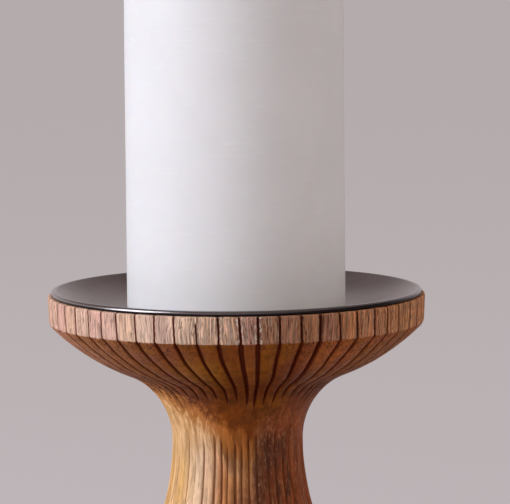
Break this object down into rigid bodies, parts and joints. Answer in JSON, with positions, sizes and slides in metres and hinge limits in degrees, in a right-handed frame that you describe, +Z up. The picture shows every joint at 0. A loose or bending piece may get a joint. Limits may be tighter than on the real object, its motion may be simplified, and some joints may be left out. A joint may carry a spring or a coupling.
{
  "type": "pricket candle stand",
  "caption": "Turned and fluted wooden candle stand with a dished metal drip tray, a screwed-in spike, a felt foot and a lift-off pillar candle.",
  "frame": {"origin": "on the floor under the middle of the foot", "axes": "+Z up along the stand's own turning axis, towards the candle; X and Y are alike because the stand is round"},
  "size_m": [0.121, 0.121, 0.3076],
  "materials": {
    "carved_wood": "matt oiled",
    "felt": "matt",
    "gunmetal_sheet": "satin dark plated",
    "spike_steel": "brushed",
    "insert_brass": "machined",
    "zinc_steel": "zinc plated",
    "candle_wax": "smooth wax",
    "wick_cotton": "waxed cotton"
  },
  "bodies": {
    "stand": {"turned_column": "carved_wood", "foot": "carved_wood", "felt_pad": "felt", "drip_tray": "gunmetal_sheet", "pricket": "spike_steel", "pricket_insert": "insert_brass", "foot_insert": "insert_brass", "foot_bolt": "zinc_steel", "foot_washer": "zinc_steel"},
    "candle": {"pillar_candle": "candle_wax", "wick": "wick_cotton"}
  },
  "joints": [
    {"name": "candle_lift", "type": "slide", "parent": "stand", "child": "candle", "axis": [0, 0, 1], "range_m": [0, 0.06]}
  ]
}
